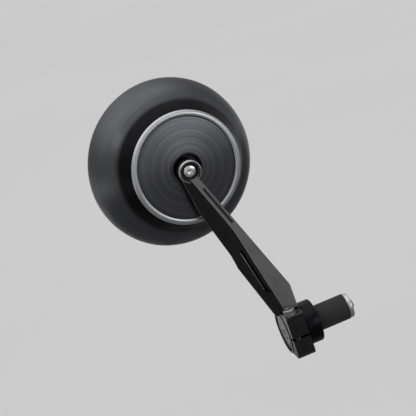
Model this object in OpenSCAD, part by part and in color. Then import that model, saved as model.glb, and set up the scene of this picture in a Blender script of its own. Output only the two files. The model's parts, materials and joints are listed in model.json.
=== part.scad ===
// Bar end mirror for the right-hand end of a motorcycle handlebar.
// The origin is the centre of the handlebar's end face. +X runs into the handlebar, +Z is up,
// and +Y points back to the rider, whom the glass faces. All lengths are millimetres.

/* [Bar end] */
// Radius of the rubber sleeve that grips inside the handlebar tube
plug_r = 8.7; // [6.5:0.1:10]
// Length of the rubber sleeve
plug_len = 22; // [16:0.5:40]
// Radius of the neck flange that seats on the end of the handlebar
neck_r = 14.5; // [12.5:0.25:15.5]
// Length of the neck flange
neck_len = 10; // [5:0.5:16]
// Radius of the journal that the arm's clamp holds
journal_r = 11; // [9.5:0.25:11.5]
// Radius of the retaining disc on the outer end
retainer_r = 13; // [12:0.2:13.6]
// Thickness of the retaining disc
retainer_t = 3.4; // [3.2:0.1:4]
// Radius of the long bolt through the bar end
bolt_r = 3; // [2.5:0.25:3]
// Depth of that disc's seat in the clamp
retainer_sink = 4.2; // [2.6:0.1:4.6]
// Radius of the bolt's countersunk head
bolt_head_r = 5.8; // [5:0.1:6]

/* [Clamp] */
// Outer radius of the clamp ring
clamp_r = 17; // [16.5:0.25:19]
// Width of the clamp ring along the handlebar
clamp_w = 13; // [12:0.5:18]
// Height of the gap that splits the clamp
split_gap = 1.6; // [1:0.1:2.4]
// Radius of the pinch screw's thread
pinch_r = 2; // [1.75:0.25:2.5]
// Radius of the pinch screw's head
pinch_head_r = 3.9; // [3.4:0.05:4.25]
// Height of the pinch screw's head
pinch_head_h = 3.2; // [2.6:0.2:4.4]
// Height of the lug's top face above the handlebar's axis
lug_top = 16; // [11:0.25:17]
// Depth of the lug's bottom face below the handlebar's axis
lug_drop = 14; // [9:0.25:16]
// How far outboard of the clamp's middle the pinch screw stands
pinch_off = 1.5; // [0:0.25:2]

/* [Arm] */
// How far outboard of the clamp's centre the ball joint stands
hub_reach = 29.5; // [24:0.5:33]
// How far above the handlebar's axis the ball joint stands
hub_rise = 125; // [110:1:150]
// Radius of the round eye at the arm's tip
eye_r = 7.5; // [7:0.25:9]
// Depth of the arm at its eye
eye_t = 6; // [5:0.25:8]
// Depth of the arm at its root
root_t = 12.5; // [11:0.25:14]
// Height at which the inboard edge starts to lean outboard
heel_z = 32; // [28:1:38]
// Height of the bend in the outboard edge
bend_z = 80; // [70:1:88]
// How far outboard of the clamp's centre that bend lies
bend_reach = 29.6; // [27.5:0.2:32]
// How far outboard of the clamp's centre the blade's outboard edge starts
foot_reach = 8.2; // [6.6:0.1:9]
// Height of the bend in the ridge between the front face and the bevel
ridge_z = 80; // [70:1:95]
// Width of the front face at that bend
ridge_w = 5; // [4.6:0.2:6]
// Turn of the bevel about the ridge, from flat against the front face
bevel_angle = 30; // [24:1:33]
// Width of the long groove milled in the bevel
groove_w = 4; // [3:0.25:4.5]
// Depth of that groove
groove_deep = 1.4; // [0.8:0.1:1.8]

/* [Ball joint] */
// Radius of the ball
ball_r = 8; // [7:0.25:8.5]
// Distance from the front of the back disc to the ball's centre
ball_depth = 8; // [7.5:0.25:9]
// Radius of the stud's neck
stud_r = 4; // [3.5:0.1:4.5]
// Wall of the nylon cup round the ball
cup_wall = 2.2; // [1.6:0.1:2.6]
// Radius of the screw that holds the stud to the arm
stud_screw_r = 2.5; // [2:0.1:2.6]
// Radius of that screw's button head
stud_head_r = 4.6; // [4:0.1:5]
// Depth of that head's seat in the eye
head_sink = 3.4; // [3:0.1:3.8]
// Gap between the arm and the back disc
disc_gap = 8; // [7:0.5:12]

/* [Head] */
// How far the head is turned on its ball, from square to the arm
head_turn = 8; // [0:1:10]
// Outer radius of the rim
rim_r = 56; // [52:0.5:60]
// Depth of the head from the back disc to the rim
head_depth = 36; // [33:0.5:42]
// Radius where the drum meets the bowl
base_r = 43; // [41:0.5:45]
// Distance from the back disc to that corner
base_depth = 12; // [10:0.5:14]
// How far the hollow corner between drum and bowl runs out along the bowl
corner_reach = 2.6; // [2:0.2:3.6]
// Slope towards the rim with which the bowl leaves that corner
bowl_slope = 0.62; // [0.4:0.02:0.8]
// How far inside the rim the bowl's shoulder lies
shoulder_in = 2.5; // [1.5:0.5:4]
// Radius of the drum's front edge
drum_r = 36.6; // [34:0.2:37.4]
// Wall of the turned shell
shell_wall = 2.2; // [1.6:0.1:3]
// Width of the polished ring
ring_w = 3.2; // [2.4:0.1:3.6]
// Thickness of the polished ring's flange, which covers the drum's front edge
ring_t = 1.2; // [1:0.1:1.8]
// How far the brushed back disc rises from its edge to its mouth
disc_rise = 2.4; // [0:0.1:3]
// Thickness of the brushed back disc at its edge
disc_t = 2.4; // [1.8:0.1:3]
// Radius of the mouth in the back disc
mouth_r = 8.8; // [8.6:0.1:9.4]
// Radius of the boss that holds the ball cup
boss_r = 21; // [20:0.5:23]
// Radius of the circle that the four plate screws lie on
screw_circle_r = 16.6; // [16:0.2:17]
// Radius of a plate screw's thread
plate_screw_r = 1.5; // [1.25:0.25:1.75]
// Thickness of the pressure plate
plate_t = 5; // [4:0.25:6]

/* [Glass] */
// Thickness of the glass
glass_t = 2.5; // [2:0.1:3]
// Thickness of the adhesive foam under the glass
pad_t = 1; // [0.6:0.1:1.4]
// Wall of the rubber bezel round the glass
bezel_wall = 1; // [0.8:0.1:1.6]
// Width of the bezel's lip over the glass
bezel_lip = 1.6; // [1:0.1:2.5]
// Width of the ledge that carries the glass
ledge_w = 4.5; // [3:0.25:6]

/* [Hidden] */
$fn = 96;

// Clearances between pieces
turn_gap = 0.05;     // round fits that turn
side_gap = 0.3;      // beside faces that slide past each other
eps = 0.01;          // overrun of a cut past the face it opens
far = 200;           // longer than anything a cutter has to clear

// Places along the handlebar's axis
clamp_x = -(neck_len + side_gap + clamp_w / 2);
clamp_in = clamp_x + clamp_w / 2;
clamp_out = clamp_x - clamp_w / 2;
journal_end = clamp_out + retainer_sink - side_gap;
retainer_end = journal_end - retainer_t;
cone_len = 9;
cone_tip_r = bolt_r + 1.5;
cone_base_r = plug_r - 1.2;
cone_flange = 3;
cone_start = plug_len - cone_len;
bolt_tip = plug_len + cone_flange + 2;

// Places of the ball joint and the head, measured towards the rider
hub_x = clamp_x - hub_reach;
hub_z = hub_rise;
eye_front = -eye_t / 2;
eye_back = eye_t / 2;
head_seat = eye_front + head_sink;
disc_y = eye_back + disc_gap;
ball_y = disc_y + ball_depth;
base_y = disc_y + base_depth;
rim_y = disc_y + head_depth;
band = 3.5;
web_t = 3;
web_y = disc_y + disc_t;
ring_seat_y = disc_y + ring_t;
ring_inner = drum_r - ring_w;
ring_spigot_r = ring_inner + 1;
drum_slope = (base_r - drum_r) / base_depth;
rebate = pad_t + glass_t;
cup_r = ball_r + cup_wall;
seat_r = cup_r + turn_gap;
cup_front = 4.4;
cup_back = 5;
plate_gap = 0.4;
plate_hole = 5;
plate_y = ball_y + plate_gap;
glass_r = rim_r - shell_wall - bezel_wall - 0.1;

// Places on the clamp and the arm
lug_reach = pinch_head_r + 0.6;
pinch_y = -(retainer_r + pinch_r + 1.1);
pinch_x = clamp_x - pinch_off;
lug_low = -lug_drop;
foot_gap = 0.5;
root_front = -(root_t - eye_back);
lean = atan2(eye_front - root_front, hub_z - clamp_r);

function arm_front(z) = root_front + (z - clamp_r) * tan(lean);
// Where the inboard edge lies, outboard of the clamp's centre, at a height
edge_past = -1.5;
function inboard_x(z) = clamp_w / 2 - (z - heel_z) * (clamp_w / 2 + hub_reach + edge_past) / (hub_z - heel_z);

// Point on a circle where a line from an outside point touches it, on the outboard side
function touch(p, c, r) =
    let (d = norm(c - p), a = atan2(c.y - p.y, c.x - p.x) + asin(r / d), l = sqrt(d * d - r * r))
    [p.x + l * cos(a), p.y + l * sin(a)];

// Quadratic curve through two ends, drawn towards a middle point
function curve(a, m, b, n, first = 0) = [for (i = [first:n]) let (t = i / n)
    (1 - t) * (1 - t) * a + 2 * t * (1 - t) * m + t * t * b];

// Turned piece on the ball stud's axis: the profile is (radius, place towards the rider)
module on_stud_axis() {
    translate([hub_x, 0, hub_z])
        rotate([-90, 0, 0])
            rotate_extrude()
                children();
}

// Turns the head's pieces about the ball, to the way the mirror is set
module turned_head() {
    translate([hub_x, ball_y, hub_z])
        rotate([0, 0, head_turn])
            translate([-hub_x, -ball_y, -hub_z])
                children();
}

// Turned piece on the mirror's own axis
module on_head_axis() {
    turned_head()
        on_stud_axis()
            children();
}

// Turned piece on the handlebar's axis: the profile is (radius, place along the bar)
module on_bar_axis() {
    rotate([0, 90, 0])
        rotate_extrude()
            children();
}

// Hexagon socket, opening at the origin towards -Z, cut a depth into +Z
module hex_socket(across, deep) {
    translate([0, 0, -eps])
        cylinder(d = across / cos(30), h = deep + eps, $fn = 6);
}

// Sub-part: bar_adaptor. Neck flange and journal, turned from one bar, with a hole for the bolt.
module bar_adaptor() {
    chamfer = 0.8;
    color("dimgray")
        difference() {
            on_bar_axis()
                polygon([
                    [0, journal_end],
                    [journal_r - chamfer, journal_end],
                    [journal_r, journal_end + chamfer],
                    [journal_r, clamp_in + side_gap],
                    [neck_r - chamfer, clamp_in + side_gap],
                    [neck_r, clamp_in + side_gap + chamfer],
                    [neck_r, -chamfer],
                    [neck_r - chamfer, 0],
                    [0, 0]
                ]);
            translate([journal_end - eps, 0, 0])
                rotate([0, 90, 0])
                    cylinder(r = bolt_r + turn_gap, h = -journal_end + 2 * eps);
        }
}

// Sub-part: retaining_disc. Keeps the clamp on the journal, and is countersunk for the bolt.
module retaining_disc() {
    chamfer = 0.9;
    sink = bolt_head_r - bolt_r;
    color("silver")
        on_bar_axis()
            polygon([
                [bolt_r + turn_gap, journal_end],
                [retainer_r, journal_end],
                [retainer_r, retainer_end + chamfer],
                [retainer_r - chamfer, retainer_end],
                [bolt_head_r + turn_gap, retainer_end],
                [bolt_r + turn_gap, retainer_end + sink]
            ]);
}

// Sub-part: expander_bolt. Countersunk socket screw that draws the cone into the rubber.
module expander_bolt() {
    sink = bolt_head_r - bolt_r;
    color("gray")
        difference() {
            on_bar_axis()
                polygon([
                    [0, retainer_end],
                    [bolt_head_r, retainer_end],
                    [bolt_r, retainer_end + sink],
                    [bolt_r, bolt_tip - 0.6],
                    [bolt_r - 0.6, bolt_tip],
                    [0, bolt_tip]
                ]);
            translate([retainer_end, 0, 0])
                rotate([0, 90, 0])
                    hex_socket(bolt_r * 4 / 3, bolt_r * 0.9);
        }
}

// Sub-part: expander_rubber. Sleeve that the cone spreads against the inside of the tube.
module expander_rubber() {
    color("black")
        on_bar_axis()
            polygon([
                [bolt_r + 0.3, 0],
                [plug_r, 0],
                [plug_r, plug_len],
                [cone_base_r + turn_gap, plug_len],
                [cone_tip_r + turn_gap, cone_start],
                [bolt_r + 0.3, cone_start]
            ]);
}

// Sub-part: expander_cone. Cone nut that the bolt draws into the rubber.
module expander_cone() {
    color("darkgray")
        on_bar_axis()
            polygon([
                [bolt_r + turn_gap, cone_start + turn_gap],
                [cone_tip_r, cone_start + turn_gap],
                [cone_base_r, plug_len],
                [plug_r - 0.4, plug_len + turn_gap],
                [plug_r - 0.4, plug_len + cone_flange - 0.5],
                [plug_r - 0.9, plug_len + cone_flange],
                [bolt_r + turn_gap, plug_len + cone_flange]
            ]);
}

// Outline of the blade as seen from the front, ending inside the eye
module arm_outline() {
    hub = [-hub_reach, hub_z];
    bend = [-bend_reach, bend_z];
    polygon([
        [-clamp_w / 2, 0],
        [clamp_w / 2, 0],
        [clamp_w / 2, heel_z],
        [-hub_reach - edge_past, hub_z],
        touch(bend, hub, eye_r - 0.4),
        bend,
        [-foot_reach, retainer_r + foot_gap],
        [-clamp_w / 2, retainer_r + foot_gap]
    ]);
}

// Places children on the bevel: their Z runs along a line on the front face, their X outboard
// down the bevel and their Y out of it. The line's ends are (place along the bar, height).
module on_bevel(low, high) {
    a = [low.x, arm_front(low.y), low.y];
    b = [high.x, arm_front(high.y), high.y];
    d = b - a;
    run = norm([d.x, d.y]);
    translate(a)
        rotate([0, atan2(run, d.z), atan2(d.y, d.x)])
            rotate([0, 0, -bevel_angle])
                children();
}

// Everything in front of the bevel that runs along one line
module bevel_cutter(low, high) {
    on_bevel(low, high)
        translate([-far, 0, -far])
            cube([far * 2, far, far * 3]);
}

// The front face is widest at the root and narrows to a land of even width above the bend.
ridge_foot = [-clamp_w / 2 + 3, clamp_r + 5];
ridge_bend = [inboard_x(ridge_z) - ridge_w, ridge_z];
ridge_tip = [inboard_x(hub_z) - ridge_w, hub_z];

// Sub-part: arm. Milled from one block: split clamp at the foot, bevelled blade, round eye.
module arm() {
    color("#3a3b3e")
        difference() {
            union() {
                translate([clamp_x, 0, 0])
                    blade();
                eye();
                clamp_ring();
                clamp_lug();
            }
            clamp_cuts();
            eye_cuts();
        }
}

// The round eye, chamfered round its front
module eye() {
    chamfer = 0.9;
    on_stud_axis()
        polygon([
            [0, eye_front],
            [eye_r - chamfer, eye_front],
            [eye_r, eye_front + chamfer],
            [eye_r, eye_back],
            [0, eye_back]
        ]);
}

// The blade between clamp and eye, with its sloping front, bevel and grooves
module blade() {
    difference() {
        translate([0, eye_back, 0])
            rotate([90, 0, 0])
                linear_extrude(height = eye_back - root_front)
                    arm_outline();
        translate([0, root_front, clamp_r])
            rotate([-lean, 0, 0])
                translate([-far / 2, -far, -far / 2])
                    cube([far, far, far * 2]);
        arm_bevel();
        bevel_groove();
        face_groove();
    }
}

// The ring round the journal, with a wide chamfer on its outer side
module clamp_ring() {
    chamfer = 2.4;
    edge = 0.5;
    on_bar_axis()
        polygon([
            [0, clamp_out],
            [clamp_r - chamfer, clamp_out],
            [clamp_r, clamp_out + chamfer],
            [clamp_r, clamp_in - edge],
            [clamp_r - edge, clamp_in],
            [0, clamp_in]
        ]);
}

// The lug in front of the ring that the pinch screw draws together
module clamp_lug() {
    front = pinch_y - lug_reach;
    corner = 2.2;
    translate([clamp_out + 0.5, 0, 0])
        rotate([90, 0, 90])
            linear_extrude(height = clamp_w - 1)
                polygon([
                    [0, lug_low],
                    [front + corner, lug_low],
                    [front, lug_low + corner],
                    [front, lug_top - corner / 3],
                    [front + corner / 3, lug_top],
                    [0, lug_top]
                ]);
}

// What the bevel takes away: the space in front of both its stretches
module arm_bevel() {
    intersection() {
        bevel_cutter(ridge_foot, ridge_bend);
        bevel_cutter(ridge_bend, ridge_tip);
    }
}

// Long round-ended groove in the lower half of the bevel
module bevel_groove() {
    low = ridge_foot + 0.22 * (ridge_bend - ridge_foot);
    high = ridge_foot + 0.72 * (ridge_bend - ridge_foot);
    length = norm([high.x - low.x, high.y - low.y]);
    inset = 1.4 + groove_w / 2;
    clear = 10;
    on_bevel(low, high)
        translate([inset, 0, 0]) {
            for (end = [0, length])
                translate([0, clear, end])
                    rotate([90, 0, 0])
                        cylinder(r = groove_w / 2, h = clear + groove_deep);
            translate([-groove_w / 2, -groove_deep, 0])
                cube([groove_w, clear + groove_deep, length]);
        }
}

// Narrow channel in the upper half of the front face, between two lands
module face_groove() {
    low_z = ridge_z + 4;
    high_z = hub_z - eye_r - 6;
    channel_w = 1.7;
    channel_deep = 0.9;
    land = 1.5;
    a = [inboard_x(low_z) - land - channel_w, low_z];
    b = [inboard_x(high_z) - land - channel_w, high_z];
    length = norm(b - a);
    translate([a.x, 0, a.y])
        rotate([0, atan2(b.x - a.x, b.y - a.y), 0])
            rotate([-lean, 0, 0])
                translate([0, arm_front(low_z) + channel_deep - far / 10, 0])
                    cube([channel_w, far / 10, length]);
}

// Bore, disc seat, split, screw holes and head seat of the clamp
module clamp_cuts() {
    translate([clamp_out - eps, 0, 0])
        rotate([0, 90, 0])
            cylinder(r = retainer_r + foot_gap / 2, h = retainer_sink + eps);
    translate([clamp_out - eps, 0, 0])
        rotate([0, 90, 0])
            cylinder(r = journal_r + turn_gap, h = clamp_w + 2 * eps);
    translate([clamp_out - eps, -far, -split_gap / 2])
        cube([clamp_w + 2 * eps, far, split_gap]);
    translate([pinch_x, pinch_y, 0]) {
        cylinder(r = pinch_r + 0.25, h = far);
        translate([0, 0, lug_low - eps])
            cylinder(r = pinch_r + turn_gap, h = -lug_low + eps);
        translate([0, 0, lug_top])
            cylinder(r = pinch_head_r + 0.5, h = clamp_r - lug_top + pinch_head_h);
    }
}

// Hole and head seat in the eye, with a chamfer round its front edge
module eye_cuts() {
    chamfer = 0.7;
    translate([hub_x, 0, hub_z])
        rotate([-90, 0, 0]) {
            translate([0, 0, -far / 10])
                cylinder(r = stud_screw_r + 0.1, h = far / 5);
            translate([0, 0, eye_front - far / 10])
                cylinder(r = stud_head_r + 0.35, h = far / 10 + head_sink);
            translate([0, 0, eye_front - eps])
                cylinder(r1 = stud_head_r + 0.35 + chamfer + eps, r2 = stud_head_r + 0.35, h = chamfer + eps);
        }
}

// Sub-part: pinch_screw. Socket cap screw that closes the clamp.
module pinch_screw() {
    washer_t = 0.8;
    head_z = lug_top + washer_t;
    color("lightgray")
        translate([pinch_x, pinch_y, 0])
            difference() {
                rotate_extrude()
                    polygon([
                        [0, lug_low + 1],
                        [pinch_r - 0.5, lug_low + 1],
                        [pinch_r, lug_low + 1.5],
                        [pinch_r, head_z],
                        [pinch_head_r, head_z],
                        [pinch_head_r, head_z + pinch_head_h - 0.5],
                        [pinch_head_r - 0.5, head_z + pinch_head_h],
                        [0, head_z + pinch_head_h]
                    ]);
                translate([0, 0, head_z + pinch_head_h])
                    rotate([180, 0, 0])
                        hex_socket(pinch_r * 1.6, pinch_head_h * 0.55);
            }
}

// Sub-part: pinch_washer. Plain washer under the pinch screw's head.
module pinch_washer() {
    washer_t = 0.8;
    color("silver")
        translate([pinch_x, pinch_y, lug_top])
            difference() {
                cylinder(r = pinch_head_r + 0.3, h = washer_t);
                translate([0, 0, -eps])
                    cylinder(r = pinch_r + 0.15, h = washer_t + 2 * eps);
            }
}

// Sub-part: stud_screw. Button head screw through the eye, into the ball stud.
module stud_screw() {
    dome = 2.4;
    reach = 6;
    color("white")
        difference() {
            on_stud_axis()
                polygon(concat(
                    [[0, head_seat - dome]],
                    curve([1.6, head_seat - dome], [stud_head_r, head_seat - dome],
                        [stud_head_r, head_seat - 0.5], 8),
                    [
                        [stud_head_r, head_seat],
                        [stud_screw_r, head_seat],
                        [stud_screw_r, eye_back + reach - 0.5],
                        [stud_screw_r - 0.5, eye_back + reach],
                        [0, eye_back + reach]
                    ]
                ));
            translate([hub_x, head_seat - dome, hub_z])
                rotate([-90, 0, 0])
                    hex_socket(stud_screw_r * 1.2, dome * 0.65);
        }
}

// Sub-part: ball_stud. Ball and neck turned from one bar, with a tapped hole for the screw.
module ball_stud() {
    stud_end = eye_back + turn_gap;
    collar = 1.6;
    hole = 7;
    color("gainsboro")
        difference() {
            union() {
                translate([hub_x, ball_y, hub_z])
                    rotate([-90, 0, 0])
                        sphere(r = ball_r);
                on_stud_axis()
                    polygon([
                        [0, stud_end],
                        [stud_r + 1, stud_end],
                        [stud_r + 1, stud_end + collar],
                        [stud_r, stud_end + collar + 1],
                        [stud_r, ball_y - ball_r / 2],
                        [0, ball_y - ball_r / 2]
                    ]);
            }
            translate([hub_x, stud_end - eps, hub_z])
                rotate([-90, 0, 0])
                    cylinder(r = stud_screw_r + turn_gap, h = hole);
        }
}

// Sub-part: ball_cup. Nylon liner, round inside and outside, that grips the ball.
module ball_cup() {
    color("ivory")
        translate([hub_x, ball_y, hub_z])
            rotate([-90, 0, 0])
                difference() {
                    intersection() {
                        sphere(r = cup_r);
                        translate([0, 0, -cup_front])
                            cylinder(r = far / 4, h = cup_front + cup_back);
                    }
                    sphere(r = ball_r + turn_gap);
                }
}

// Corner towards which the bowl is drawn
shoulder = [rim_r - shoulder_in, base_y + bowl_slope * (rim_r - shoulder_in - base_r)];

// Half profile of the shell's outside, from the ring's seat to the rim: a conical drum wall,
// a hollow corner and a gently bulged bowl
function shell_outside() =
    let (
        wall_end = [base_r - 0.2 * base_depth * drum_slope, base_y - 0.2 * base_depth],
        bowl_start = [base_r + corner_reach, base_y + corner_reach * bowl_slope]
    )
    concat(
        [[drum_r + ring_t * drum_slope, ring_seat_y]],
        curve(wall_end, [base_r, base_y], bowl_start, 6),
        curve(bowl_start, shoulder, [rim_r, rim_y - band], 14, first = 1)
    );

// Sub-part: head_shell. Bowl, drum and ball socket turned from one piece of aluminium.
module head_shell() {
    seat_ledge = rim_y - rebate;
    inner_rim = rim_r - shell_wall;
    under_ledge = [inner_rim - 1.2, seat_ledge - 5];
    fillet = 1.5;
    color("#55565a")
        difference() {
            on_head_axis()
                polygon(concat(
                    shell_outside(),
                    [
                        [rim_r, rim_y - 0.5],
                        [rim_r - 0.5, rim_y],
                        [inner_rim, rim_y],
                        [inner_rim, seat_ledge],
                        [inner_rim - ledge_w, seat_ledge],
                        [inner_rim - ledge_w, seat_ledge - 2]
                    ],
                    curve(under_ledge, shoulder + [-shell_wall * 0.9, 0.4],
                        [base_r - shell_wall * 0.4, base_y + shell_wall], 10),
                    [
                        [drum_r - shell_wall, web_y + web_t + fillet],
                        [drum_r - shell_wall - fillet, web_y + web_t],
                        [boss_r, web_y + web_t],
                        [boss_r, ball_y],
                        [0, ball_y],
                        [0, web_y],
                        [ring_spigot_r, web_y],
                        [ring_spigot_r, ring_seat_y]
                    ]
                ));
            translate([hub_x, ball_y, hub_z])
                rotate([-90, 0, 0])
                    sphere(r = seat_r);
            for (i = [1:4])
                plate_screw_place(i)
                    translate([0, 0, -plate_hole])
                        cylinder(r = plate_screw_r + turn_gap, h = plate_hole + eps);
        }
}

// Sub-part: polished_ring. Bright turned ring: its spigot goes into the drum's recess, and its
// rounded flange covers the drum's front edge.
module polished_ring() {
    outer = drum_r + ring_t * drum_slope;
    edge = 0.3;
    proud = 1;
    color("white")
        on_head_axis()
            polygon(concat(
                [[ring_inner, web_y]],
                curve([ring_inner, disc_y], [drum_r - ring_w / 2, disc_y - proud],
                    [drum_r, disc_y + edge], 8),
                [
                    [outer, ring_seat_y],
                    [ring_spigot_r - turn_gap, ring_seat_y],
                    [ring_spigot_r - turn_gap, web_y]
                ]
            ));
}

// Sub-part: back_disc. Brushed disc, slightly domed, with a chamfered mouth for the stud.
module back_disc() {
    outer = ring_inner - 0.2;
    edge = 0.4;
    chamfer = 0.7;
    mouth_y = disc_y - disc_rise;
    color("#6a6b70")
        on_head_axis()
            polygon(concat(
                [[mouth_r + chamfer, mouth_y]],
                curve([mouth_r + chamfer, mouth_y], [outer * 0.6, mouth_y + disc_rise * 0.3],
                    [outer - edge, disc_y], 10),
                [
                    [outer, disc_y + edge],
                    [outer, web_y],
                    [mouth_r, web_y],
                    [mouth_r, mouth_y + chamfer]
                ]
            ));
}

// Place of one plate screw: its own +Z points out of the plate, to the rider
module plate_screw_place(i) {
    turn = 45 + 90 * (i - 1);
    turned_head()
        translate([hub_x + screw_circle_r * cos(turn), ball_y, hub_z + screw_circle_r * sin(turn)])
            rotate([-90, 0, 0])
                children();
}

// Sub-part: pressure_plate. Closes the socket and sets how hard the cup grips the ball.
module pressure_plate() {
    color("darkgray")
        difference() {
            on_head_axis()
                polygon([
                    [0, plate_y],
                    [boss_r, plate_y],
                    [boss_r, plate_y + plate_t - 0.8],
                    [boss_r - 0.8, plate_y + plate_t],
                    [0, plate_y + plate_t]
                ]);
            translate([hub_x, ball_y, hub_z])
                rotate([-90, 0, 0])
                    sphere(r = seat_r);
            for (i = [1:4])
                plate_screw_place(i)
                    cylinder(r = plate_screw_r + 0.2, h = plate_gap + plate_t + 1);
        }
}

// One screw of the pressure plate, with a slightly domed head and a hexagon socket
module plate_screw(i) {
    washer_t = 0.9;
    under = plate_gap + plate_t + washer_t;
    head_r = plate_screw_r * 1.8;
    head_h = plate_screw_r * 1.3;
    color("silver")
        plate_screw_place(i)
            difference() {
                rotate_extrude($fn = 48)
                    polygon([
                        [0, 0.4 - plate_hole],
                        [plate_screw_r, 0.4 - plate_hole],
                        [plate_screw_r, under],
                        [head_r, under],
                        [head_r, under + head_h * 0.7],
                        [head_r * 0.7, under + head_h],
                        [0, under + head_h]
                    ]);
                translate([0, 0, under + head_h])
                    rotate([180, 0, 0])
                        hex_socket(plate_screw_r * 1.3, head_h * 0.6);
            }
}

module plate_screw_1() plate_screw(1);
module plate_screw_2() plate_screw(2);
module plate_screw_3() plate_screw(3);
module plate_screw_4() plate_screw(4);

// One spring washer under a plate screw: a ring with a narrow split
module spring_washer(i) {
    washer_t = 0.9;
    color("gray")
        plate_screw_place(i)
            translate([0, 0, plate_gap + plate_t])
                difference() {
                    cylinder(r = plate_screw_r * 1.8, h = washer_t, $fn = 48);
                    translate([0, 0, -eps])
                        cylinder(r = plate_screw_r + 0.15, h = washer_t + 2 * eps, $fn = 48);
                    translate([0, -0.25, -eps])
                        cube([far / 10, 0.5, washer_t + 2 * eps]);
                }
}

module spring_washer_1() spring_washer(1);
module spring_washer_2() spring_washer(2);
module spring_washer_3() spring_washer(3);
module spring_washer_4() spring_washer(4);

// Sub-part: foam_pad. Ring of double-sided foam between the ledge and the glass.
module foam_pad() {
    outer = glass_r - 0.8;
    inner = rim_r - shell_wall - ledge_w + 0.4;
    color("dimgray")
        on_head_axis()
            translate([inner, rim_y - rebate])
                square([outer - inner, pad_t]);
}

// Sub-part: mirror_glass. Silvered glass with a small ground edge.
module mirror_glass() {
    back = rim_y - glass_t;
    grind = 0.4;
    color("lightcyan")
        on_head_axis()
            polygon([
                [0, back],
                [glass_r - grind, back],
                [glass_r, back + grind],
                [glass_r, rim_y - grind],
                [glass_r - grind, rim_y],
                [0, rim_y]
            ]);
}

// Sub-part: rubber_bezel. Rubber ring round the glass, with a lip over its edge.
module rubber_bezel() {
    outer = rim_r - shell_wall - turn_gap;
    inner = glass_r + turn_gap;
    lip_t = 0.8;
    color("black")
        on_head_axis()
            polygon([
                [inner, rim_y - rebate],
                [outer, rim_y - rebate],
                [outer, rim_y + 0.3],
                [outer - 0.5, rim_y + lip_t],
                [glass_r - bezel_lip + 0.5, rim_y + lip_t],
                [glass_r - bezel_lip, rim_y + 0.05],
                [inner, rim_y + 0.05]
            ]);
}

bar_adaptor();
retaining_disc();
expander_bolt();
expander_rubber();
expander_cone();
arm();
pinch_screw();
pinch_washer();
stud_screw();
ball_stud();
ball_cup();
head_shell();
polished_ring();
back_disc();
pressure_plate();
plate_screw_1();
plate_screw_2();
plate_screw_3();
plate_screw_4();
spring_washer_1();
spring_washer_2();
spring_washer_3();
spring_washer_4();
mirror_glass();
foam_pad();
rubber_bezel();
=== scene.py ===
"""Bar end mirror: finely turned and bevelled pieces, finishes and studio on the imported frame."""

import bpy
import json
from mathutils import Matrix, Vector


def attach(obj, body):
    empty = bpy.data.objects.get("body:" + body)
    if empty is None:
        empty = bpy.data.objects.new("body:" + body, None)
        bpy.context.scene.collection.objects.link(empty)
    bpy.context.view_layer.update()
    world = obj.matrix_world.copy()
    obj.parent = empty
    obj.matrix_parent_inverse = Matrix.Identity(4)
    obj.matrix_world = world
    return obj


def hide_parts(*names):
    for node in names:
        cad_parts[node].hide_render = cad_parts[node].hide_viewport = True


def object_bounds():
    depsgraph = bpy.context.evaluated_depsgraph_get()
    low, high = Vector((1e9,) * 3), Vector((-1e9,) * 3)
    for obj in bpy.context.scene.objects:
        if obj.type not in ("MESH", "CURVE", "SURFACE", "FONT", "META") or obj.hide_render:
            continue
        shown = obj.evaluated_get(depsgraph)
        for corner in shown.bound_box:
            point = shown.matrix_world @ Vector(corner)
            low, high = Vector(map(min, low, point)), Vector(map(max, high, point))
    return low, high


bl_info = {
    "name": "Bar End Mirror",
    "version": (1, 0, 0),
    "blender": (4, 5, 0),
    "location": "3D View > Sidebar > Mirror",
    "description": "Turned pieces, finishes and studio for a motorcycle bar end mirror",
    "category": "Object",
}

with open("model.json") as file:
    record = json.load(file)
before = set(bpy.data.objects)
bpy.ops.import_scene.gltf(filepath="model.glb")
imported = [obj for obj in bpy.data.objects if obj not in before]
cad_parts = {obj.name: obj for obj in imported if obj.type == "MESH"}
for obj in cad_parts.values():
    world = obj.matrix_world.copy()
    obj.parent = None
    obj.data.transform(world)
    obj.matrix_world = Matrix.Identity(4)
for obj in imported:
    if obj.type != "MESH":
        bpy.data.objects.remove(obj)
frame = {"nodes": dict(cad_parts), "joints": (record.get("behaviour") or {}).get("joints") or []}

import json
import math

import bpy
from bpy.props import FloatProperty, FloatVectorProperty, IntProperty, PointerProperty
from mathutils import Matrix, Vector

CAD_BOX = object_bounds()
MM = 0.001

# The head is turned about the ball, which is where the record puts its joints
HEAD_TURN = math.radians(8)
BALL = Vector(next(j["pos_m"] for j in frame["joints"] if j["name"] == "head_pan"))
HEAD_FRAME = Matrix.Translation(BALL) @ Matrix.Rotation(HEAD_TURN, 4, "Z")
# The pieces at the bar end are turned about the handlebar's axis
BAR_FRAME = Matrix.Rotation(-math.pi / 2, 4, "Z")
# Points nearer to each other than this are one point
WELD = 0.002 * MM
# The length on a piece that the turning map's whole width stands for
MAP_WIDTH = 100 * MM

# Sizes of the turned head in millimetres, with places along its axis from the ball's centre:
# the drum runs from its front edge to the bowl's base, and the bowl from there to its rim
FRONT = -8.0
BASE = 4.0
RIM = 28.0
DRUM_R = 36.6
BASE_R = 43.0
RIM_R = 56.0
WALL = 2.2
DRUM_SLOPE = (BASE_R - DRUM_R) / (BASE - FRONT)
BOWL_SLOPE = 0.62
RIM_EDGE = 0.5
# The rounded corner between drum and bowl, and the place where the bowl curves round to its rim
CORNER_BACK = 2.4
CORNER_REACH = 2.6
SHOULDER_IN = 2.5
# The ledge that carries the glass, and the wall under it
LEDGE_DEPTH = 3.5
LEDGE_W = 4.5
LEDGE_T = 2.0
UNDERCUT_IN = 1.2
UNDERCUT_DEPTH = 5.0
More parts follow.
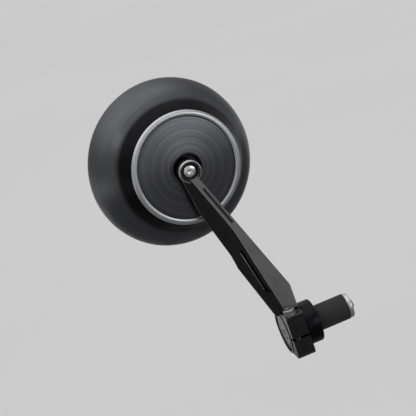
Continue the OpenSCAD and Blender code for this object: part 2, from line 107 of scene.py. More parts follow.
# The web in the drum, its corner and its boss, and the ball's seat in it
WEB_T = 3.0
WEB_CORNER = 1.5
BOSS_R = 21.0
SEAT_R = 10.25
SEAT_STEPS = 8
# The ring, its rounded crown and broken edge, and the recess that its spigot enters
RING_W = 3.2
RING_T = 1.2
CROWN = 1.0
CROWN_DROP = 0.3
RING_BREAK = 0.08
RECESS_W = 1.0
RECESS_GAP = 0.05
# The disc, which rises to its mouth, with its chamfers and broken edge
DISC_T = 2.4
DISC_RISE = 2.4
DISC_GAP = 0.2
DISC_EDGE = 0.4
MOUTH_R = 8.8
MOUTH_EDGE = 0.7
DISC_BREAK = 0.1
# Half the width of the band where the drum wall's painted shade fades into the grey of the bowl
DRUM_SHADE_FADE = 2.2

# The arm in metres, whose clamp stays black, without the painted lighter front or the painted
# bright edges, up to its top
CLAMP_TOP = 16.5 * MM
# The channel in its front lies deeper than this, and the eye's chamfer within the radius
CHANNEL_DEPTH = 0.4 * MM
EYE_R = 8 * MM
# The way that the sloping front and the chamfer face, along Y, where -1 is straight forwards
SLOPE_FACING = (-0.9999, -0.98)
CHAMFER_FACING = (-0.8, -0.6)
# A corner is bevelled and painted bright as a highlight if it is longer than this and bent by more,
# between two faces that are wider
LONG = 6 * MM
BENT = math.radians(25)
NARROW = 1.2 * MM

# The direction from the object to the camera in the photograph, the camera's roll, and the point
# that it is aimed at and the range that it sees, in metres
VIEW_AZIMUTH = math.radians(8.9)
VIEW_ELEVATION = math.radians(15.18)
VIEW_ROLL = math.radians(19.56)
VIEW_AIM = Vector((-0.043, 0.0, 0.098))
VIEW_RANGE = (0.05, 50)

# The studio in metres. A soft light is its azimuth from the front towards +X, its elevation and
# its reach in degrees, and the share of the reach that has the full level
OVERHEAD = (-120, 80, 65)
LOW = (40, 0, 35)
SOFT_CORE = 0.35
FLOOR_SIZE = 30
CARD_PLACE = (0.2, -0.85)
CARD_SIZE = (3.0, 2.65)
CARD_LIFT = 2 * MM
LAMP_PLACE = Vector((-0.6, -0.75, 0.75))
LAMP_SIZE = 0.3

# Colours of the dust, which is darker on the shell
DUST = (0.45, 0.44, 0.42)
SHELL_DUST = (0.35, 0.35, 0.34)


# Sizes and colours that a user would change

class MIRROR_PG_sizes(bpy.types.PropertyGroup):
    turned_steps: IntProperty(
        name="Turned steps", description="Faces round a turned piece", default=160, min=48, max=256)
    arm_edge: FloatProperty(
        name="Arm edge", description="Width of the bright broken edge along the arm",
        default=0.32 * MM, min=0.05 * MM, max=0.6 * MM, unit="LENGTH")
    turned_edge: FloatProperty(
        name="Turned edge", description="Width of the broken edge on turned pieces",
        default=0.25 * MM, min=0.05 * MM, max=0.6 * MM, unit="LENGTH")
    screw_edge: FloatProperty(
        name="Screw edge", description="Width of the broken edge on screws and washers",
        default=0.1 * MM, min=0.02 * MM, max=0.3 * MM, unit="LENGTH")


class MIRROR_PG_finishes(bpy.types.PropertyGroup):
    shell_colour: FloatVectorProperty(
        name="Shell", description="Dark anodised aluminium of the bowl",
        default=(0.124, 0.126, 0.136), subtype="COLOR", size=3, min=0, max=1)
    # The drum wall's near black is painted shade on the wall between the ring and the bowl
    drum_shade_colour: FloatVectorProperty(
        name="Drum wall", description="Black anodised wall between the ring and the bowl",
        default=(0.012, 0.012, 0.013), subtype="COLOR", size=3, min=0, max=1)
    disc_colour: FloatVectorProperty(
        name="Disc", description="Dark circular brushed disc",
        default=(0.132, 0.134, 0.148), subtype="COLOR", size=3, min=0, max=1)
    # The arm face's grey is painted light: the lit side of the same anodising as the bevel, on the
    # sloping front
    arm_lit_colour: FloatVectorProperty(
        name="Arm face", description="Satin anodised front of the arm",
        default=(0.225, 0.225, 0.23), subtype="COLOR", size=3, min=0, max=1)
    # This black is the clamp's own anodising, and painted shade on the arm's bevel and the
    # channel's floor
    black_and_shade_colour: FloatVectorProperty(
        name="Black", description="Glossy black anodising of the arm's bevel and the clamp",
        default=(0.055, 0.055, 0.058), subtype="COLOR", size=3, min=0, max=1)
    # The edges' light grey is a painted highlight on the arm's bevelled corners and the eye's
    # chamfer
    edge_highlight_colour: FloatVectorProperty(
        name="Edges", description="Broken edges, where the anodising is thin",
        default=(0.48, 0.48, 0.49), subtype="COLOR", size=3, min=0, max=1)
    bright_colour: FloatVectorProperty(
        name="Polished", description="Polished aluminium of the ring",
        default=(0.62, 0.625, 0.65), subtype="COLOR", size=3, min=0, max=1)
    steel_colour: FloatVectorProperty(
        name="Stainless", description="Stainless steel of the screw in the arm's eye",
        default=(0.90, 0.89, 0.87), subtype="COLOR", size=3, min=0, max=1)
    clamp_screw_colour: FloatVectorProperty(
        name="Clamp screw", description="Duller steel of the clamp's screw",
        default=(0.42, 0.41, 0.39), subtype="COLOR", size=3, min=0, max=1)
    neck_colour: FloatVectorProperty(
        name="Neck", description="Black anodising of the turned pieces at the bar end",
        default=(0.016, 0.016, 0.018), subtype="COLOR", size=3, min=0, max=1)


class MIRROR_PG_studio(bpy.types.PropertyGroup):
    floor_colour: FloatVectorProperty(
        name="Floor", description="Pale floor under and behind the mirror",
        default=(0.80, 0.80, 0.80), subtype="COLOR", size=3, min=0, max=1)
    floor_drop: FloatProperty(
        name="Floor drop", description="Height of the mirror's lowest point above the floor",
        default=0.19, min=0.0, max=0.5, unit="LENGTH")
    card_colour: FloatVectorProperty(
        name="Card", description="Grey card that lies low in front and shapes the reflections",
        default=(0.19, 0.19, 0.19), subtype="COLOR", size=3, min=0, max=1)
    room_level: FloatProperty(
        name="Room", description="Level of the light from all round",
        default=0.33, min=0, max=2)
    overhead_level: FloatProperty(
        name="Overhead", description="Level of the wide soft light above",
        default=0.75, min=0, max=4)
    low_level: FloatProperty(
        name="Low light", description="Level of the soft light low in front on the right",
        default=1.34, min=0, max=4)
    lamp_power: FloatProperty(
        name="Lamp", description="Power of the small lamp at the upper left in watts",
        default=0.45, min=0, max=20)
    lens: FloatProperty(
        name="Lens", description="Focal length of the camera", default=122.0, min=20, max=300,
        subtype="DISTANCE_CAMERA")
    distance: FloatProperty(
        name="Distance", description="From the camera to the point it is aimed at",
        default=0.9, min=0.3, max=3, unit="LENGTH")


# Shader building

def add_node(tree, kind, inputs=None, **settings):
    """A shader node with its settings, and its inputs set or linked by name or number."""
    node = tree.nodes.new(kind)
    for name, value in settings.items():
        setattr(node, name, value)
    for name, value in (inputs or {}).items():
        if isinstance(value, bpy.types.NodeSocket):
            tree.links.new(value, node.inputs[name])
        else:
            node.inputs[name].default_value = value
    return node


def new_group(name, inputs, outputs):
    """A new node group with float or vector inputs and float outputs, and its two ends."""
    group = bpy.data.node_groups.new(name, "ShaderNodeTree")
    for socket_name, default in inputs.items():
        kind = "NodeSocketVector" if socket_name == "Vector" else "NodeSocketFloat"
        socket = group.interface.new_socket(socket_name, in_out="INPUT", socket_type=kind)
        if default is not None:
            socket.default_value = default
    for socket_name in outputs:
        group.interface.new_socket(socket_name, in_out="OUTPUT", socket_type="NodeSocketFloat")
    given = group.nodes.new("NodeGroupInput").outputs
    out = group.nodes.new("NodeGroupOutput").inputs
    return group, given, out


def turning_group():
    """Fine rings left by a lathe, on the axis Y of the vector it is given."""
    group, given, out = new_group(
        "Turning Marks", {"Vector": None, "Marks per mm": 3.0, "Uneven per mm": 0.3},
        ["Height", "Tone"])
    parts = add_node(group, "ShaderNodeSeparateXYZ", {0: given["Vector"]}).outputs
    across = add_node(group, "ShaderNodeCombineXYZ", {"X": parts["X"], "Y": parts["Z"]})
    radius = add_node(
        group, "ShaderNodeVectorMath", {0: across.outputs[0]}, operation="LENGTH").outputs["Value"]
    meridian = add_node(group, "ShaderNodeCombineXYZ", {"X": radius, "Y": parts["Y"]}).outputs[0]
    for name, rate, detail in (("Height", "Marks per mm", 2.0), ("Tone", "Uneven per mm", 3.0)):
        scale = add_node(
            group, "ShaderNodeMath", {0: given[rate], 1: 1 / MM}, operation="MULTIPLY").outputs[0]
        noise = add_node(
            group, "ShaderNodeTexNoise", {"Vector": meridian, "Scale": scale, "Detail": detail},
            noise_dimensions="2D")
        group.links.new(noise.outputs["Fac"], out[name])
    return group


def milling_group():
    """Fine straight marks along the axis Z of the vector it is given."""
    group, given, out = new_group(
        "Milling Marks", {"Vector": None, "Marks per mm": 2.0, "Uneven per mm": 0.12},
        ["Height", "Tone"])
    drawn_out = add_node(
        group, "ShaderNodeVectorMath", {0: given["Vector"], 1: (1.0, 1.0, 0.05)},
        operation="MULTIPLY").outputs[0]
    for name, rate, vector in (
            ("Height", "Marks per mm", drawn_out), ("Tone", "Uneven per mm", given["Vector"])):
        scale = add_node(
            group, "ShaderNodeMath", {0: given[rate], 1: 1 / MM}, operation="MULTIPLY").outputs[0]
        noise = add_node(
            group, "ShaderNodeTexNoise", {"Vector": vector, "Scale": scale, "Detail": 3.0})
        group.links.new(noise.outputs["Fac"], out[name])
    return group


def handling_group():
    """Faint smudges and specks of dust, as two masks."""
    group, given, out = new_group(
        "Handling", {"Vector": None, "Smudges per mm": 0.06, "Specks per mm": 1.4},
        ["Smudge", "Dust"])
    for name, rate, low, high in (
            ("Smudge", "Smudges per mm", 0.42, 0.68), ("Dust", "Specks per mm", 0.70, 0.76)):
        scale = add_node(
            group, "ShaderNodeMath", {0: given[rate], 1: 1 / MM}, operation="MULTIPLY").outputs[0]
        noise = add_node(
            group, "ShaderNodeTexNoise", {"Vector": given["Vector"], "Scale": scale, "Detail": 4.0})
        mask = add_node(group, "ShaderNodeMapRange", {
            "Value": noise.outputs["Fac"], "From Min": low, "From Max": high})
        group.links.new(mask.outputs["Result"], out[name])
    return group


def place_group(tree, name, vector, **inputs):
    """One of the shared effects, built the first time that it is asked for."""
    makers = {"Turning Marks": turning_group, "Milling Marks": milling_group,
              "Handling": handling_group}
    group = bpy.data.node_groups.get(name) or makers[name]()
    node = add_node(tree, "ShaderNodeGroup", node_tree=group)
    tree.links.new(vector, node.inputs["Vector"])
    for socket, value in inputs.items():
        node.inputs[socket.replace("_", " ")].default_value = value
    return node.outputs


def object_vector(tree, axes=None):
    """Object coordinates, or the coordinates in a piece's own axes."""
    vector = add_node(tree, "ShaderNodeTexCoord").outputs["Object"]
    if axes is None:
        return vector
    back = axes.inverted()
    turned = add_node(tree, "ShaderNodeMapping", {
        "Vector": vector, "Location": back.to_translation(), "Rotation": back.to_euler()})
    return turned.outputs[0]


def between(tree, factor, low, high):
    """A value that runs from low to high with a mask."""
    return add_node(tree, "ShaderNodeMapRange", {
        "Value": factor, "To Min": low, "To Max": high}).outputs["Result"]


def blended(tree, factor, first, second):
    """A colour that runs from the first to the second with a mask."""
    mix = add_node(tree, "ShaderNodeMix", data_type="RGBA")
    for place, value in ((0, factor), (6, first), (7, second)):
        if isinstance(value, bpy.types.NodeSocket):
            tree.links.new(value, mix.inputs[place])
        else:
            mix.inputs[place].default_value = value if place == 0 else (*value, 1.0)
    return mix.outputs[2]


def dimmed(colour, level):
    """A colour scaled by a level, capped at white."""
    return tuple(min(1.0, channel * level) for channel in colour)


def toned(tree, factor, colour, spread):
    """A colour that runs with a mask from a share darker to a share lighter."""
    return blended(tree, factor, dimmed(colour, 1 - spread), dimmed(colour, 1 + spread))


def new_surface(name, metallic, roughness, **constants):
    """A material with its Principled shader, which keeps plain numbers on its own sockets."""
    material = bpy.data.materials.new(name)
    material.use_nodes = True
    shader = material.node_tree.nodes["Principled BSDF"]
    shader.inputs["Metallic"].default_value = metallic
    shader.inputs["Roughness"].default_value = roughness
    for socket, value in constants.items():
        shader.inputs[socket.replace("_", " ")].default_value = value
    return material, material.node_tree, shader.inputs


def add_bump(tree, sockets, height, strength, depth):
    """Feeds a height through a Bump node into the shader's normal."""
    bump = add_node(tree, "ShaderNodeBump", {
        "Height": height, "Strength": strength, "Distance": depth})
    tree.links.new(bump.outputs["Normal"], sockets["Normal"])


def add_handling(tree, sockets, vector, colour, rough, dust=0.12, dust_colour=DUST):
    """Dust over a colour, and a roughness that runs between two values with the smudges."""
    handling = place_group(tree, "Handling", vector)
    if dust:
        specks = between(tree, handling["Dust"], 0.0, dust)
        colour = blended(tree, specks, colour, dust_colour)
    tree.links.new(colour, sockets["Base Color"])
    tree.links.new(between(tree, handling["Smudge"], *rough), sockets["Roughness"])


def add_streaks(tree, sockets):
    """Draws highlights out across the lathe marks, by the piece's turning map."""
    meridian = add_node(tree, "ShaderNodeTangent", direction_type="UV_MAP", uv_map="turning")
    tree.links.new(meridian.outputs["Tangent"], sockets["Tangent"])


def turned_metal(name, colour, roughness, axes, marks=3.0, depth=0.02):
    """Turned metal: lathe marks, bands of tone and faint smudges."""
    material, tree, sockets = new_surface(name, 1.0, roughness)
    vector = object_vector(tree, axes)
    marks_out = place_group(tree, "Turning Marks", vector, Marks_per_mm=marks)
    banded = toned(tree, marks_out["Tone"], colour, 0.18)
    add_handling(tree, sockets, vector, banded, (roughness * 0.92, roughness * 1.15))
    add_bump(tree, sockets, marks_out["Height"], 0.35, depth * MM)
    return material


def milled_metal(name, colour, roughness, depth=0.02):
    """Milled and anodised metal: fine marks along the piece, a faint cloudiness and dust."""
    material, tree, sockets = new_surface(name, 1.0, roughness)
    vector = object_vector(tree)
    marks_out = place_group(tree, "Milling Marks", vector)
    cloudy = toned(tree, marks_out["Tone"], colour, 0.2)
    add_handling(tree, sockets, vector, cloudy, (roughness * 0.9, roughness * 1.2))
    add_bump(tree, sockets, marks_out["Height"], 0.3, depth * MM)
    return material


def grained(name, colour, roughness, grain_per_mm, depth):
    """Moulded rubber, nylon or foam: an even grain with a slight change of tone."""
    material, tree, sockets = new_surface(name, 0.0, roughness)
    vector = object_vector(tree)
    grain = add_node(tree, "ShaderNodeTexNoise", {
        "Vector": vector, "Scale": grain_per_mm / MM, "Detail": 3.0}).outputs["Fac"]
    add_handling(tree, sockets, vector, toned(tree, grain, colour, 0.15),
                 (roughness * 0.92, min(1.0, roughness * 1.1)), dust=0.2)
    add_bump(tree, sockets, grain, 0.4, depth * MM)
    return material


def finish_named(name):
    """One of the finishes, built the first time that it is asked for."""
    return bpy.data.materials.get(name) or FINISHES[name](name)


def chosen(name):
    """A colour of the finish settings, as plain numbers."""
    return tuple(getattr(bpy.context.scene.mirror_finishes, name))


def shell_finish(name):
    """Dark turned shell whose drum wall is painted near black as shade, told apart by their place
    from the ball.
    """
    material, tree, sockets = new_surface(name, 1.0, 0.36, Anisotropic=0.5)
    vector = object_vector(tree, HEAD_FRAME)
    marks_out = place_group(tree, "Turning Marks", vector, Marks_per_mm=1.6, Uneven_per_mm=0.35)
    parts = add_node(tree, "ShaderNodeSeparateXYZ", {0: vector}).outputs
    # Painted shade: the drum wall turns near black by its place along the axis
    drum_shade_mask = add_node(tree, "ShaderNodeMapRange", {
        "Value": parts["Y"], "From Min": (BASE + DRUM_SHADE_FADE) * MM,
        "From Max": (BASE - DRUM_SHADE_FADE) * MM}, interpolation_type="SMOOTHSTEP").outputs["Result"]
    banded = toned(tree, marks_out["Tone"], chosen("shell_colour"), 0.18)
    drum_shaded = blended(tree, drum_shade_mask, banded, chosen("drum_shade_colour"))
    add_handling(tree, sockets, vector, drum_shaded, (0.33, 0.42), dust_colour=SHELL_DUST)
    add_bump(tree, sockets, marks_out["Height"], 0.5, 0.03 * MM)
    add_streaks(tree, sockets)
    return material


def disc_finish(name):
    """Circular brushed disc: fine rings of tone, and highlights drawn out a little across them."""
    material, tree, sockets = new_surface(name, 1.0, 0.31, Anisotropic=0.2)
    vector = object_vector(tree, HEAD_FRAME)
    marks_out = place_group(tree, "Turning Marks", vector, Marks_per_mm=4.5, Uneven_per_mm=0.8)
    lines = add_node(tree, "ShaderNodeMapRange", {
        "Value": marks_out["Tone"], "From Min": 0.3, "From Max": 0.7}).outputs["Result"]
    banded = toned(tree, lines, chosen("disc_colour"), 0.22)
    add_handling(tree, sockets, vector, banded, (0.28, 0.34), dust=0)
    add_bump(tree, sockets, marks_out["Height"], 0.4, 0.02 * MM)
    add_streaks(tree, sockets)
    return material


def glass_finish(name):
    """Silvered glass with a few smudges."""
    material, tree, sockets = new_surface(name, 1.0, 0.02)
    sockets["Base Color"].default_value = (0.88, 0.90, 0.91, 1.0)
    handling = place_group(tree, "Handling", object_vector(tree))
    tree.links.new(between(tree, handling["Smudge"], 0.015, 0.05), sockets["Roughness"])
    return material


# None has the name of a slot of the record, whose plain material is already in the frame
FINISHES = {
    "shell": shell_finish,
    "ringed_disc": disc_finish,
    "silvered_glass": glass_finish,
    "polished_ring": lambda name: turned_metal(
        name, chosen("bright_colour"), 0.38, HEAD_FRAME, marks=5.0, depth=0.004),
    # The arm's front is painted lighter as the lit side, and its bevel and channel darker as shade
    "arm_face": lambda name: milled_metal(name, chosen("arm_lit_colour"), 0.45),
    "arm_black": lambda name: milled_metal(name, chosen("black_and_shade_colour"), 0.26, depth=0.01),
    # Painted highlight on the arm's corners and the eye's chamfer
    "arm_edge": lambda name: milled_metal(name, chosen("edge_highlight_colour"), 0.30, depth=0.01),
    "turned_black": lambda name: turned_metal(name, chosen("neck_colour"), 0.26, BAR_FRAME),
    # The ball and its neck are painted near black as the shade in the disc's mouth
    "oxide_steel": lambda name: turned_metal(name, (0.035, 0.035, 0.04), 0.32, HEAD_FRAME),
    "head_screw_steel": lambda name: turned_metal(
        name, chosen("steel_colour"), 0.22, HEAD_FRAME, marks=6.0, depth=0.006),
    "clamp_screw_steel": lambda name: milled_metal(
        name, chosen("clamp_screw_colour"), 0.30, depth=0.006),
    "plated_steel": lambda name: milled_metal(name, (0.58, 0.59, 0.61), 0.34, depth=0.01),
    "dark_plated_steel": lambda name: milled_metal(name, (0.26, 0.26, 0.27), 0.36, depth=0.01),
    "turned_aluminium": lambda name: turned_metal(name, (0.66, 0.67, 0.69), 0.34, HEAD_FRAME),
    "turned_cone": lambda name: turned_metal(name, (0.66, 0.67, 0.69), 0.34, BAR_FRAME),
    "moulded_rubber": lambda name: grained(name, (0.014, 0.014, 0.015), 0.62, 2.2, 0.03),
    # The cup's near black is painted shade in the disc's mouth
    "moulded_nylon": lambda name: grained(name, (0.02, 0.02, 0.02), 0.5, 1.0, 0.01),
    "open_foam": lambda name: grained(name, (0.10, 0.10, 0.10), 0.95, 1.5, 0.2),
}


# Modelling

def clear_selection():
    """Leaves nothing selected, so that an operator acts only on the new piece."""
    if bpy.context.object is not None and bpy.context.object.mode != "OBJECT":
        bpy.ops.object.mode_set(mode="OBJECT")
    bpy.ops.object.select_all(action="DESELECT")


def make_active(piece):
    """Selects one piece alone."""
    clear_selection()
    piece.select_set(True)
    bpy.context.view_layer.objects.active = piece


def curve_points(start, middle, end, count):
    """Points of a quadratic curve drawn towards a middle point, without its start."""
    points = []
    for step in range(1, count + 1):
        t = step / count
        points.append(tuple(
            (1 - t) ** 2 * a + 2 * t * (1 - t) * m + t * t * b
            for a, m, b in zip(start, middle, end)))
    return points


def turned_piece(name, profile, axes):
    """Lathes a closed profile of (radius, place along the axis) in millimetres."""
    clear_selection()
    bpy.ops.mesh.primitive_plane_add(size=MM)
    piece = bpy.context.object
    piece.name = piece.data.name = name
    bpy.ops.object.mode_set(mode="EDIT")
    bpy.ops.mesh.merge(type="CENTER")
    bpy.ops.transform.translate(value=(profile[0][0] * MM, profile[0][1] * MM, 0))
    for here, there in zip(profile, profile[1:] + profile[:1]):
        step = ((there[0] - here[0]) * MM, (there[1] - here[1]) * MM, 0)
        bpy.ops.mesh.extrude_vertices_move(TRANSFORM_OT_translate={"value": step})
    bpy.ops.mesh.select_all(action="SELECT")
    bpy.ops.mesh.spin(
        steps=bpy.context.scene.mirror_sizes.turned_steps, angle=math.tau,
        center=(0, 0, 0), axis=(0, 1, 0))
    bpy.ops.mesh.select_all(action="SELECT")
    bpy.ops.mesh.remove_doubles(threshold=WELD)
    bpy.ops.mesh.normals_make_consistent(inside=False)
    bpy.ops.object.mode_set(mode="OBJECT")
    piece.matrix_world = axes
    bpy.ops.object.transform_apply(location=True, rotation=True, scale=True)
    return piece


def add_turning_map(piece, axes):
    """A UV map whose U grows outwards and back, so that its tangent lies across the lathe marks."""
    back = axes.inverted()
    layer = piece.data.uv_layers.get("turning") or piece.data.uv_layers.new(name="turning")
    for face in piece.data.polygons:
        middle = back @ face.center
        start = math.atan2(middle.z, middle.x)
        for index in face.loop_indices:
            place = back @ piece.data.vertices[piece.data.loops[index].vertex_index].co
            past = (math.atan2(place.z, place.x) - start + math.pi) % math.tau - math.pi
            across = (math.hypot(place.x, place.z) + place.y) / MAP_WIDTH
            layer.data[index].uv = (across, (start + past) / math.tau)


def break_edges(piece, width, angle=30):
    """Rounds the sharp edges of a piece and shades the rest smooth."""
    make_active(piece)
    bevel = piece.modifiers.new("Broken edges", "BEVEL")
    bevel.width = width
    bevel.segments = 2
    bevel.limit_method = "ANGLE"
    bevel.angle_limit = math.radians(angle)
    bpy.ops.object.modifier_apply(modifier=bevel.name)
    bpy.ops.object.shade_smooth_by_angle(angle=math.radians(30))


def select_long_corners(piece, above):
    """Selects the long edges above a height that stand out between two wide faces."""
    mesh = piece.data
    beside = {}
    for face in mesh.polygons:
        for key in face.edge_keys:
            beside.setdefault(key, []).append(face)
    for edge in mesh.edges:
        faces = beside.get(tuple(sorted(edge.vertices)), [])
        ends = [mesh.vertices[i].co for i in edge.vertices]
        edge.select = False
        length = (ends[0] - ends[1]).length
        if len(faces) == 2 and length > LONG and min(ends[0].z, ends[1].z) > above:
            one, other = faces
            bent = one.normal.angle(other.normal, 0) > BENT
            wide = min(one.area, other.area) > NARROW * length
            edge.select = bent and wide and one.normal.dot(other.center - one.center) < 0


def bevel_highlight_corners(piece, width, above, slot):
    """Bevels the long corners of a piece and gives the bevels the slot that paints them bright as a
    highlight.
    """
    make_active(piece)
    bpy.ops.object.mode_set(mode="EDIT")
    bpy.ops.mesh.select_mode(type="EDGE")
    bpy.ops.mesh.select_all(action="DESELECT")
    bpy.ops.object.mode_set(mode="OBJECT")
    select_long_corners(piece, above)
    bpy.ops.object.mode_set(mode="EDIT")
    bpy.ops.mesh.bevel(
        offset=width, segments=2, affect="EDGES", clamp_overlap=False, material=slot)
    bpy.ops.mesh.select_all(action="SELECT")
    bpy.ops.mesh.remove_doubles(threshold=WELD)
    bpy.ops.object.mode_set(mode="OBJECT")
    bpy.ops.object.shade_smooth_by_angle(angle=math.radians(35))
    even = piece.modifiers.new("Flat faces stay flat", "WEIGHTED_NORMAL")
    even.keep_sharp = True
    bpy.ops.object.modifier_apply(modifier=even.name)


def copy_of_node(node, name):
    """A merged copy of a CAD node, whose flat faces are whole again."""
    source = frame["nodes"][node]
    clear_selection()
    piece = source.copy()
    piece.data = source.data.copy()
    piece.parent = None
    for key in list(piece.keys()):
        del piece[key]
    bpy.context.scene.collection.objects.link(piece)
    piece.matrix_world = Matrix.Identity(4)
    piece.name = piece.data.name = name
    make_active(piece)
    if piece.data.has_custom_normals:
        bpy.ops.mesh.customdata_custom_splitnormals_clear()
    bpy.ops.object.mode_set(mode="EDIT")
    bpy.ops.mesh.select_all(action="SELECT")
    bpy.ops.mesh.remove_doubles(threshold=WELD)
    bpy.ops.mesh.dissolve_limited(angle_limit=math.radians(0.3))
    bpy.ops.object.mode_set(mode="OBJECT")
    return piece


def set_finishes(piece, *names):
    """Puts finishes on a piece, in the order of its slots."""
    piece.data.materials.clear()
    for name in names:
        piece.data.materials.append(finish_named(name))


def dress_node(node, finish):
    """Gives a CAD node that stays a better finish."""
    for place in frame["nodes"][node].material_slots:
        place.material = finish_named(finish)


def stand_in(piece, node, body):
    """Hides the CAD node that a piece stands for, and makes the piece move with its body."""
    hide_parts(node)
    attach(piece, body)


# Pieces

class MIRROR_OT_head_shell(bpy.types.Operator):
    """Turns the bowl, drum and ball socket from one piece"""

    bl_idname = "mirror.head_shell"
    bl_label = "Head shell"

    def execute(self, context):
        web = FRONT + DISC_T
        ledge = RIM - LEDGE_DEPTH
        inner = RIM_R - WALL
        bore = DRUM_R - WALL
        recess = DRUM_R - RING_W + RECESS_W
        wall_end = (BASE_R - CORNER_BACK * DRUM_SLOPE, BASE - CORNER_BACK)
        bowl_start = (BASE_R + CORNER_REACH, BASE + CORNER_REACH * BOWL_SLOPE)
        shoulder = (RIM_R - SHOULDER_IN, BASE + BOWL_SLOPE * (RIM_R - SHOULDER_IN - BASE_R))
        outside = [(DRUM_R + RING_T * DRUM_SLOPE, FRONT + RING_T), wall_end]
        outside += curve_points(wall_end, (BASE_R, BASE), bowl_start, count=10)
        outside += curve_points(bowl_start, shoulder, (RIM_R, ledge), count=24)
        outside += [(RIM_R, RIM - RIM_EDGE), (RIM_R - RIM_EDGE, RIM)]
        under = (inner - UNDERCUT_IN, ledge - UNDERCUT_DEPTH)
        inside = [(inner, RIM), (inner, ledge), (inner - LEDGE_W, ledge),
                  (inner - LEDGE_W, ledge - LEDGE_T), under]
        # The inner wall runs at about the wall's thickness from the outer one
        inside += curve_points(under, (shoulder[0] - WALL * 0.9, shoulder[1] + 0.4),
                               (BASE_R - WALL * 0.4, BASE + WALL), count=12)
        inside += [(bore, web + WEB_T + WEB_CORNER), (bore - WEB_CORNER, web + WEB_T),
                   (BOSS_R, web + WEB_T), (BOSS_R, 0)]
        turns = [math.asin(web / SEAT_R) * step / SEAT_STEPS for step in range(SEAT_STEPS + 1)]
        seat = [(SEAT_R * math.cos(turn), SEAT_R * math.sin(turn)) for turn in turns]
        front = [(recess, web), (recess, FRONT + RING_T)]
        piece = turned_piece("bowl_and_drum", outside + inside + seat + front, HEAD_FRAME)
        break_edges(piece, context.scene.mirror_sizes.turned_edge, angle=18)
        add_turning_map(piece, HEAD_FRAME)
        set_finishes(piece, "shell")
        stand_in(piece, "head_shell", "head")
        return {"FINISHED"}


class MIRROR_OT_polished_ring(bpy.types.Operator):
    """Turns the bright ring on the drum's front edge"""

    bl_idname = "mirror.polished_ring"
    bl_label = "Polished ring"

    def execute(self, context):
        inner = DRUM_R - RING_W
        spigot = inner + RECESS_W - RECESS_GAP
        crown = (inner, FRONT)
        profile = [(inner, FRONT + DISC_T), crown]
        profile += curve_points(crown, (DRUM_R - RING_W / 2, FRONT - CROWN),
                                (DRUM_R, FRONT + CROWN_DROP), count=12)
        profile += [(DRUM_R + RING_T * DRUM_SLOPE, FRONT + RING_T), (spigot, FRONT + RING_T),
                    (spigot, FRONT + DISC_T)]
        piece = turned_piece("bright_ring", profile, HEAD_FRAME)
        break_edges(piece, RING_BREAK * MM, angle=40)
        set_finishes(piece, "polished_ring")
        stand_in(piece, "polished_ring", "head")
        return {"FINISHED"}


class MIRROR_OT_back_disc(bpy.types.Operator):
    """Turns the brushed disc with its chamfered mouth"""

    bl_idname = "mirror.back_disc"
    bl_label = "Back disc"

    def execute(self, context):
        outer = DRUM_R - RING_W - DISC_GAP
        mouth = (MOUTH_R + MOUTH_EDGE, FRONT - DISC_RISE)
        profile = [mouth]
        profile += curve_points(mouth, (outer * 0.6, FRONT - DISC_RISE * 0.7),
                                (outer - DISC_EDGE, FRONT), count=16)
        profile += [(outer, FRONT + DISC_EDGE), (outer, FRONT + DISC_T),
                    (MOUTH_R, FRONT + DISC_T), (MOUTH_R, FRONT - DISC_RISE + MOUTH_EDGE)]
        piece = turned_piece("brushed_back_disc", profile, HEAD_FRAME)
        break_edges(piece, DISC_BREAK * MM)
        add_turning_map(piece, HEAD_FRAME)
        set_finishes(piece, "ringed_disc")
        stand_in(piece, "back_disc", "head")
        return {"FINISHED"}


class MIRROR_OT_arm(bpy.types.Operator):
    """Breaks the arm's edges and paints them bright as highlights, and tells its satin faces from
    its glossy bevel: the front is painted lighter as the lit side, and the bevel and the channel's
    floor darker as shade
    """

    bl_idname = "mirror.arm"
    bl_label = "Arm"

    def execute(self, context):
        piece = copy_of_node("arm", "milled_arm")
        set_finishes(piece, "arm_black", "arm_face", "arm_edge")
        black, satin, bright = range(3)
        faces = piece.data.polygons
        sloping = [face for face in faces
                   if SLOPE_FACING[0] < face.normal.y < SLOPE_FACING[1]
                   and face.center.z > CLAMP_TOP]
        level = max(face.normal.dot(face.center) for face in sloping)
        for face in faces:
            face.material_index = black
            from_eye = face.center - BALL
            from_eye.y = 0
            chamfered = CHAMFER_FACING[0] < face.normal.y < CHAMFER_FACING[1] and (
                face.normal.dot(from_eye) > 0)
            # The top of the sloping front is painted lighter as the lit side; the channel's floor
            # and the bevel keep the dark of painted shade
            if face in sloping and face.normal.dot(face.center) > level - CHANNEL_DEPTH:
                face.material_index = satin
            # The eye's chamfer is painted bright as a highlight ring
            elif chamfered and from_eye.length < EYE_R:
                face.material_index = bright
        bevel_highlight_corners(piece, context.scene.mirror_sizes.arm_edge, CLAMP_TOP, bright)
        stand_in(piece, "arm", "arm")
        return {"FINISHED"}


class MIRROR_OT_screws(bpy.types.Operator):
    """Breaks the edges of the screws and washers"""

    bl_idname = "mirror.screws"
    bl_label = "Screws and washers"

    def execute(self, context):
        edge = context.scene.mirror_sizes.screw_edge
        pieces = [
            ("pinch_screw", "clamp_screw", "clamp_screw_steel", "arm", "stainless"),
            ("pinch_washer", "clamp_washer", "clamp_screw_steel", "arm", "stainless"),
            ("stud_screw", "button_head_screw", "head_screw_steel", "arm", "stainless"),
            ("ball_stud", "ball_and_neck", "oxide_steel", "stud", "black_steel"),
        ]
        for node, name, finish, body, slot in pieces:
            piece = copy_of_node(node, name)
            set_finishes(piece, finish)
            break_edges(piece, edge)
            stand_in(piece, node, body)
        for node in frame["nodes"]:
            if node.startswith(("plate_screw", "spring_washer")):
                dress_node(node, "plated_steel")
        return {"FINISHED"}


